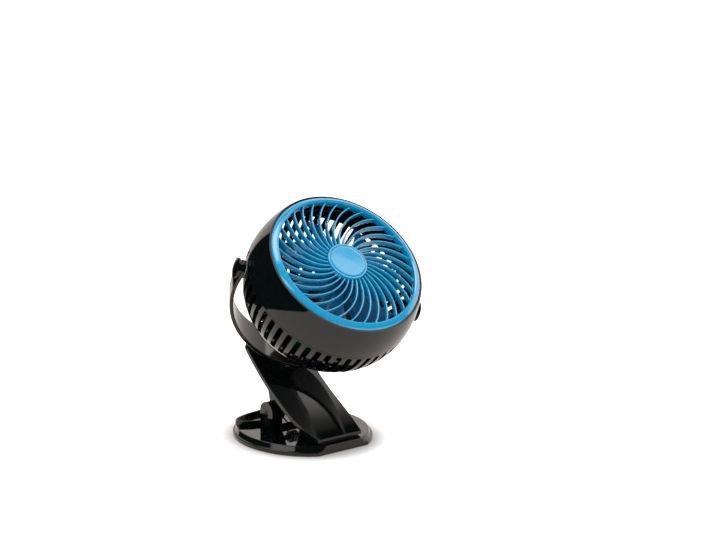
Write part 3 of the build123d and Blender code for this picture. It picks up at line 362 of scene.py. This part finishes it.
# %% One blade
BLADE_MIDDLE, BLADE_ROOT, BLADE_TIP = 15.0, 12.5, 50.0
ROOT_CHORD, CHORD_GROWS, TIP_SHARE, TIP_LOSS = 15.0, 10.0, 0.1, 3.0
ROOT_PITCH, PITCH_FALLS, TIP_LEAD = 48.0, 21.0, 9.0
BLADE_THICKNESS, BLADE_BEND, END_SIZE = 0.075, 0.07, 0.02
BLADE_ROWS, SECTION_POINTS = 22, 36


def blade_grid(first_angle):
    """One blade. At each radius the chord and pitch are blends of root and tip values, the chord less up to
    3 mm in the last tenth, and a point of the teardrop section, along c and across n, lies at s = c cos pitch
    - n sin pitch round the cylinder and at height c sin pitch + n cos pitch. Half the thickness is 5 t (0.297
    sqrt x - 0.126 x - 0.352 x^2 + 0.284 x^3 - 0.104 x^4) chords at the share x of the chord."""
    share = np.linspace(0, 1, BLADE_ROWS)
    radius = BLADE_ROOT + (BLADE_TIP - BLADE_ROOT) * share
    in_tip = np.clip(share - (1 - TIP_SHARE), 0, 1) / TIP_SHARE
    chord = ROOT_CHORD + CHORD_GROWS * share - TIP_LOSS * in_tip ** 2
    pitch = np.radians(ROOT_PITCH - PITCH_FALLS * share)
    lead = np.radians(TIP_LEAD) * share ** 2
    x = 0.5 - 0.5 * np.cos(np.linspace(0, 2 * np.pi, SECTION_POINTS + 1)[:-1])
    sign = np.repeat([1.0, -1.0], SECTION_POINTS // 2)
    half = 5 * BLADE_THICKNESS * (0.2969 * np.sqrt(x) - 0.126 * x - 0.3516 * x ** 2 + 0.2843 * x ** 3
                                  - 0.1036 * x ** 4)
    camber = BLADE_BEND * 4 * x * (1 - x)
    keep = np.ones(len(share))
    keep[[0, -1]] = END_SIZE
    along = (x[None] - 0.5) * (chord * keep)[:, None]
    across = (sign * half + camber - BLADE_BEND / 2)[None] * (chord * keep)[:, None]
    cos_pitch, sin_pitch = np.cos(pitch)[:, None], np.sin(pitch)[:, None]
    round_it = first_angle + lead[:, None] + (along * cos_pitch - across * sin_pitch) / radius[:, None]
    height = BLADE_MIDDLE + along * sin_pitch + across * cos_pitch
    return np.stack([radius[:, None] * np.cos(round_it), radius[:, None] * np.sin(round_it), height], -1)


def blade_ends(points):
    """The same grid with its first and last rows drawn together to one point each, so the blade is closed."""
    points[[0, -1]] = points[[0, -1]].mean(1, keepdims=True)
    return points


print("a blade has", len(patch(blade_grid(0.0))[1]), "faces")

# %% Blades and hub of the impeller
BLADES, FAN_HUB_COLUMNS = 7, 72
blades = [patch(in_head(blade_ends(blade_grid(2 * np.pi * k / BLADES)))) for k in range(BLADES)]
hub_front = bowed((0, 22.5), (12.5, 22.2), -0.1, 8)
hub_shoulder = bowed((12.5, 22.2), (15.0, 19.8), -0.75, 8)[1:]
hub_rear = [(15.0, 7.7), (14.8, 7.5), (1.1, 7.5), (1.1, 8.5), (0, 8.5)]
fan_hub = patch(in_head(turned(np.vstack([hub_front, hub_shoulder, hub_rear]), FAN_HUB_COLUMNS)))
make_piece("impeller", [fan_hub, *blades], "rotor", impeller_plastic)

# %% [markdown]
# ## The spring
# A torsion spring sits on the hinge pin of the clip: a straight wire on the base, four and a bit close turns
# and a straight wire up to the leg. A curve with a bevel could make it, but a grid keeps the turns evenly
# spaced and closed. So its middle line is worked out as one array of points, and a circle is carried along
# it, square to the line at each point.

# %% Coil and tube of the spring
WIRE_RADIUS, COIL_RADIUS, COIL_PITCH = 0.6, 3.9, 1.68
HINGE = np.array([0, 13.0, 18.6])
LOWER_AIM, UPPER_AIM = np.radians(-24.0), np.radians(62.0)
COIL_START_X, FULL_TURNS = -3.78, 4
lower_aim = np.array([0, np.cos(LOWER_AIM), np.sin(LOWER_AIM)])
lower_side = np.array([0, np.sin(LOWER_AIM), -np.cos(LOWER_AIM)])
coil_turn = 2 * np.pi * FULL_TURNS + np.radians(180) + LOWER_AIM - UPPER_AIM


def coil_at(turn):
    """The coil: hinge + radius (side cos t - aim sin t), moving along the pin by a pitch each full turn."""
    shift = COIL_START_X + COIL_PITCH * turn / (2 * np.pi)
    place = HINGE + COIL_RADIUS * (np.cos(turn)[:, None] * lower_side - np.sin(turn)[:, None] * lower_aim)
    return place + shift[:, None] * np.array([1.0, 0, 0])


def tube(line, radius, around=14):
    """A circle of points carried along a line: side = pin axis made square to the line's direction, other =
    direction x side, point = line + radius (side cos b + other sin b). The end rows shrink to close it."""
    along = np.gradient(line, axis=0)
    along /= np.linalg.norm(along, axis=1, keepdims=True)
    side = np.array([1.0, 0, 0]) - along * along[:, :1]
    side /= np.linalg.norm(side, axis=1, keepdims=True)
    other = np.cross(along, side)
    angle = np.arange(around) * 2 * np.pi / around
    size = np.full(len(line), radius)
    size[[0, -1]] = 0
    size[[1, -2]] = radius * 0.8
    ring_of = side[:, None] * np.cos(angle)[None, :, None] + other[:, None] * np.sin(angle)[None, :, None]
    return line[:, None] + ring_of * size[:, None, None]


print("coil of", round(coil_turn / (2 * np.pi), 2), "turns")

# %% The spring
LOWER_END_HEIGHT, UPPER_LENGTH, COIL_ROWS = 11.05, 13.0, 260
first, last = coil_at(np.array([0.0, coil_turn]))
lower_length = (first[2] - LOWER_END_HEIGHT) / -lower_aim[2]
upper_direction = -np.sin(coil_turn) * lower_side - np.cos(coil_turn) * lower_aim
straight = np.r_[0, 0.004, 0.02, np.linspace(0.1, 0.9, 6)]
spring_line = np.vstack([first + lower_aim * lower_length * (1 - straight)[:, None],
                         coil_at(np.linspace(0, coil_turn, COIL_ROWS)),
                         last + upper_direction * UPPER_LENGTH * (1 - straight[::-1])[:, None]])
make_piece("torsion_spring", [patch(tube(spring_line, WIRE_RADIUS) * MM)], "base", spring_steel)

# %% [markdown]
# ## The camera
# A camera could be moved by eye until the picture looks right, but then a wrong size and a wrong distance can
# hide each other. So it was fitted to the photograph from the ring's ellipse, the hinge and the base, with the
# fan's size as the scale. It stands about 1.3 m away, so the perspective is slight.

# %% Camera
scene = bpy.context.scene
camera = bpy.data.objects.new("camera", bpy.data.cameras.new("camera"))
scene.collection.objects.link(camera)
camera.location = (-0.75884045, -1.03462119, 0.40459274)
aim_at = Vector((0.02539, -0.03536, 0.12942))
camera.rotation_euler = (aim_at - camera.location).to_track_quat("-Z", "Y").to_euler()
camera.data.sensor_width, camera.data.lens = 36, 89.339
scene.camera = camera
scene.view_settings.view_transform = "Standard"
print("camera", round((aim_at - camera.location).length, 3), "m from its aim")

# %% [markdown]
# ## Small steps between nodes
# The floor and the studio are both worked out from positions or directions. That takes many small nodes, so a
# few helpers make them: one adds a node and links its inputs, the others do one step of arithmetic.


# %% Node helpers
def node(kind, values=None, **settings):
    """A node of the tree in hand. Its inputs are linked where a socket is given, and set where a number is."""
    made = nodes.new(kind)
    for key, value in settings.items():
        setattr(made, key, value)
    for key, value in (values or {}).items():
        if isinstance(value, bpy.types.NodeSocket):
            links.new(value, made.inputs[key])
        else:
            made.inputs[key].default_value = value
    return made


def arithmetic(operation, *values):
    """One step of arithmetic between sockets or numbers."""
    return node("ShaderNodeMath", dict(enumerate(values)), operation=operation).outputs[0]


def product(*values):
    """All the values multiplied together."""
    result = values[0]
    for value in values[1:]:
        result = arithmetic("MULTIPLY", result, value)
    return result


def smooth_step(value, low, high):
    """0 below low, 1 above high and a smooth rise between them."""
    return node("ShaderNodeMapRange", {"Value": value, "From Min": low, "From Max": high},
                interpolation_type="SMOOTHSTEP").outputs[0]


def part_along(place, axis):
    """The part of a vector socket along an axis: their scalar product."""
    return node("ShaderNodeVectorMath", {0: place, 1: tuple(axis)}, operation="DOT_PRODUCT").outputs["Value"]


def side_of(place, normal, soft, shift=0.0):
    """1 where place . normal is above shift, 0 where it is below, with a soft border."""
    return smooth_step(part_along(place, normal), shift - soft, shift + soft)


def seen_directly(rays):
    """1 for rays from the camera and through glass, 0 for all others."""
    return arithmetic("MAXIMUM", rays["Is Camera Ray"], rays["Is Transmission Ray"])


# %% [markdown]
# ## Directions in the studio
# Lights could be placed by coordinates, but a mirror shows only directions. So they are placed by degrees to
# the right of the back wall and degrees up. An edge that is straight in the room is a plane through the fan.
# It is given by the plane's normal: a direction is inside where its product with the normal is above 0.

# %% Headings and edges
ACROSS, AWAY, UP = np.array([0.787, -0.617, 0]), np.array([0.617, 0.787, 0]), np.array([0, 0, 1.0])


def heading(turn, rise):
    """A direction from the fan: turn degrees to the right of the studio's back wall and rise degrees up."""
    turn, rise = math.radians(turn), math.radians(rise)
    return math.cos(rise) * (math.cos(turn) * AWAY + math.sin(turn) * ACROSS) + math.sin(rise) * UP


def edge_through(first, second, inside):
    """The unit normal of the plane through the fan and two directions: first x second, divided by its length
    and turned towards the inside."""
    normal = np.cross(first, second)
    return normal / np.linalg.norm(normal) * np.sign(normal @ inside)


CARD_MIDDLE = heading(15, 5)
CARD_LEFT = edge_through(heading(-44, 22), heading(-32, 0), CARD_MIDDLE)
CARD_RIGHT = edge_through(heading(75, 0), UP, CARD_MIDDLE)
print("card's edges", CARD_LEFT.round(2), CARD_RIGHT.round(2))

# %% [markdown]
# ## The floor
# The photograph was taken on white. More light could make the floor white, but it would also wash out the fan.
# So the floor is a white sheet that is lit like everything else and bears the fan's shadow, and for the camera
# and behind glass a light of its own brings it up to white. That light is least at the base's outline and rises
# outwards, which paints shade in a tight band round the base on top of the real shadow. Black gloss mirrors the
# floor too. The photograph shows there where the white table ends on the left and in front, and that it runs on
# into the white card behind. So mirrors see a dark floor beyond the table's edge, and a slightly warm light on
# the table.

# %% Floor
FLOOR_HALF, PAPER_TINT = 6.0, (0.8, 0.785, 0.775)
floor_mesh = bpy.data.meshes.new("floor")
corners = FLOOR_HALF * np.array([(-1, -1, 0), (1, -1, 0), (1, 1, 0), (-1, 1, 0)], float)
floor_mesh.from_pydata(corners.tolist(), [], [(0, 1, 2, 3)])
floor = bpy.data.objects.new("floor", floor_mesh)
scene.collection.objects.link(floor)
paper = bpy.data.materials.new("white_paper")
floor_mesh.materials.append(paper)
paper.use_nodes = True
nodes, links = paper.node_tree.nodes, paper.node_tree.links
paper_shader, paper_out = nodes["Principled BSDF"], nodes["Material Output"]
paper_shader.inputs["Base Color"].default_value = (*PAPER_TINT, 1)
paper_shader.inputs["Roughness"].default_value = 0.9
paper_shader.inputs["Specular IOR Level"].default_value = 0.0
print("floor", 2 * FLOOR_HALF, "m across")

# %% [markdown]
# The floor's own lights need two lengths: how far a spot is from the origin, and how far in half widths of the
# base, where 1 is the base's outline. The second makes the white light least at the outline, which paints shade
# round the base. The shader adds the lights to the paper, and swaps it for the dark floor where a mirror looks
# beyond the table.

# %% Lights of the floor
BASE_HALF_WIDTH, BASE_HALF_LENGTH = 0.0502, 0.057
GLOW_STARTS, GLOW_FULL, GLOW_RISE, GLOW_LEAST = 0.96, 1.42, 0.8, 0.04
WARM_TINT, WARM_STRENGTH, DARK_TINT = (1.0, 0.72, 0.5), 0.3, (0.012, 0.013, 0.013)
TABLE_REACH, REACH_SOFTNESS, SIDE_SOFTNESS = 0.33, 0.02, 0.02


def length_of(place):
    """The length of a vector socket."""
    return node("ShaderNodeVectorMath", {0: place}, operation="LENGTH").outputs["Value"]


def light(colour, strength):
    """An emission of a colour and strength."""
    return node("ShaderNodeEmission", {"Color": (*colour, 1), "Strength": strength}).outputs[0]


def both(first, second):
    """Two shaders added."""
    return node("ShaderNodeAddShader", {0: first, 1: second}).outputs[0]


def either(share, first, second):
    """The first shader where the share is 0, the second where it is 1."""
    return node("ShaderNodeMixShader", {0: share, 1: first, 2: second}).outputs[0]


spot = node("ShaderNodeTexCoord").outputs["Object"]
rays = node("ShaderNodeLightPath").outputs
in_bases = node("ShaderNodeVectorMath", {0: spot, 1: (1 / BASE_HALF_WIDTH, 1 / BASE_HALF_LENGTH, 0)},
                operation="MULTIPLY").outputs["Vector"]
# The white light is least at the base's outline and full beyond it, so its low part paints shade round the base.
white_glow_and_painted_shade = arithmetic("MULTIPLY_ADD", smooth_step(length_of(in_bases), GLOW_STARTS, GLOW_FULL),
                        GLOW_RISE, GLOW_LEAST)
glows = both(light((1, 1, 1), product(seen_directly(rays), white_glow_and_painted_shade)),
             light(WARM_TINT, product(rays["Is Glossy Ray"], WARM_STRENGTH)))
before_card = product(side_of(spot, CARD_LEFT * (1, 1, 0), SIDE_SOFTNESS),
                      side_of(spot, CARD_RIGHT, SIDE_SOFTNESS))
past_reach = smooth_step(length_of(spot), TABLE_REACH * (1 - REACH_SOFTNESS), TABLE_REACH * (1 + REACH_SOFTNESS))
mirrored_beyond = product(past_reach, arithmetic("SUBTRACT", 1.0, before_card), rays["Is Glossy Ray"])
lit_paper = both(paper_shader.outputs[0], glows)
links.new(either(mirrored_beyond, lit_paper, light(DARK_TINT, 1.0)), paper_out.inputs["Surface"])
print("floor's shader has", len(nodes), "nodes")

# %% [markdown]
# ## The studio
# Black gloss shows nothing but its surroundings. They could be lamps and boards standing round the fan, but
# those would also light it and cast shadows. So the studio is drawn in the world, as shapes in directions. It
# is dark, with a wide white card behind the fan, a soft box high on the right, one higher up on the left and a
# low strip in front on the left. They lie where the photograph's reflections need them.

# %% Shapes in the studio
CARD_SOFTNESS, CARD_FULL, CARD_FADED, LEAST_PART = 0.02, 0.60, 0.72, 0.001
studio = bpy.data.worlds.new("studio")
scene.world = studio
studio.use_nodes = True
nodes, links = studio.node_tree.nodes, studio.node_tree.links
nodes.clear()
studio.cycles.sampling_method = "NONE"
direction = node("ShaderNodeTexCoord").outputs["Generated"]


def soft_box(middle, half_along, half_across, soft=0.03):
    """1 in the directions of a flat rectangle seen from the fan, 0 elsewhere. The direction is divided by its
    part towards the rectangle's middle, and its other two parts are compared with the half sizes."""
    middle = middle / np.linalg.norm(middle)
    along = ACROSS - middle * (ACROSS @ middle)
    along /= np.linalg.norm(along)
    towards = arithmetic("MAXIMUM", part_along(direction, middle), LEAST_PART)
    inside = []
    for axis, half in ((along, half_along), (np.cross(middle, along), half_across)):
        reach = arithmetic("ABSOLUTE", arithmetic("DIVIDE", part_along(direction, axis), towards))
        inside.append(smooth_step(arithmetic("SUBTRACT", half, reach), -soft, soft))
    return product(*inside)


height = node("ShaderNodeSeparateXYZ", {0: direction}).outputs["Z"]
card = product(side_of(direction, CARD_LEFT, CARD_SOFTNESS), side_of(direction, CARD_RIGHT, CARD_SOFTNESS),
               smooth_step(height, CARD_FADED, CARD_FULL))
top_box = soft_box(heading(-85, 66), 0.35, 0.35)
front_strip = soft_box(heading(-132, 23), 0.34, 0.10)
print("shapes made with", len(nodes), "nodes")

# %% [markdown]
# The box on the right is weaker towards the card, and a dark bar divides it, which the hub cap mirrors as a
# stripe. Two boxes with a gap could do the same, but the gap of one box with a bar moves without the rest.

# %% The box on the right and its bar
FADE_TURN, FADE_FROM, FADE_TO, FADE_LEAST = 28, -0.05, 0.16, 0.1
BAR_TURN, BAR_HALF, BAR_SOFTNESS, BAR_SHADE = 66, 0.05, 0.012, 0.85
right_box = soft_box(heading(60, 60), 0.55, 0.42)
past_fade = part_along(direction, heading(FADE_TURN + 90, 0))
fade = arithmetic("MULTIPLY_ADD", smooth_step(past_fade, FADE_FROM, FADE_TO), 1 - FADE_LEAST, FADE_LEAST)
across_bar = heading(BAR_TURN + 90, 0)
bar = arithmetic("SUBTRACT", side_of(direction, across_bar, BAR_SOFTNESS, -BAR_HALF),
                 side_of(direction, across_bar, BAR_SOFTNESS, BAR_HALF))
right_box = product(right_box, fade, arithmetic("SUBTRACT", 1.0, product(bar, BAR_SHADE)))
print("bar", BAR_TURN, "degrees to the right")

# %% [markdown]
# ## Light on the object
# The shapes are only for mirrors. Bright enough shapes could light the rest too, but each change to a
# reflection would then change the colours. So rough surfaces are lit evenly from all round at a plain level,
# at which a colour renders about as it is written, and the camera sees plain white. One large lamp overhead,
# which mirrors don't see, adds light from above and a soft shadow.

# %% World and lamp
CARD_LEVEL, RIGHT_LEVEL, TOP_LEVEL, FRONT_LEVEL, ROOM_LEVEL = 1.0, 1.75, 3.4, 2.3, 0.012
EVEN_LEVEL, WHITE_LEVEL, MIRROR_TINT = 1.0, 1.0, (1.0, 0.94, 0.89)
mirror_level = ROOM_LEVEL
for shape, level in ((card, CARD_LEVEL), (right_box, RIGHT_LEVEL), (top_box, TOP_LEVEL),
                     (front_strip, FRONT_LEVEL)):
    mirror_level = arithmetic("MULTIPLY_ADD", shape, level, mirror_level)


def background(colour, strength):
    """A background of a colour and strength."""
    return node("ShaderNodeBackground", {"Color": (*colour, 1), "Strength": strength}).outputs[0]


rays = node("ShaderNodeLightPath").outputs
lighting = either(rays["Is Glossy Ray"], background((1, 1, 1), EVEN_LEVEL), background(MIRROR_TINT, mirror_level))
links.new(either(seen_directly(rays), lighting, background((1, 1, 1), WHITE_LEVEL)),
          node("ShaderNodeOutputWorld").inputs["Surface"])

key = bpy.data.lights.new("soft_box", "AREA")
key.energy, key.size, key.shape = 4.0, 1.4, "SQUARE"
key_light = bpy.data.objects.new("soft_box", key)
scene.collection.objects.link(key_light)
key_light.location = (-0.12, -0.15, 1.3)
key_light.rotation_euler = (Vector((0, 0, 0.1)) - key_light.location).to_track_quat("-Z", "Y").to_euler()
key_light.visible_glossy = False
print("studio ready")
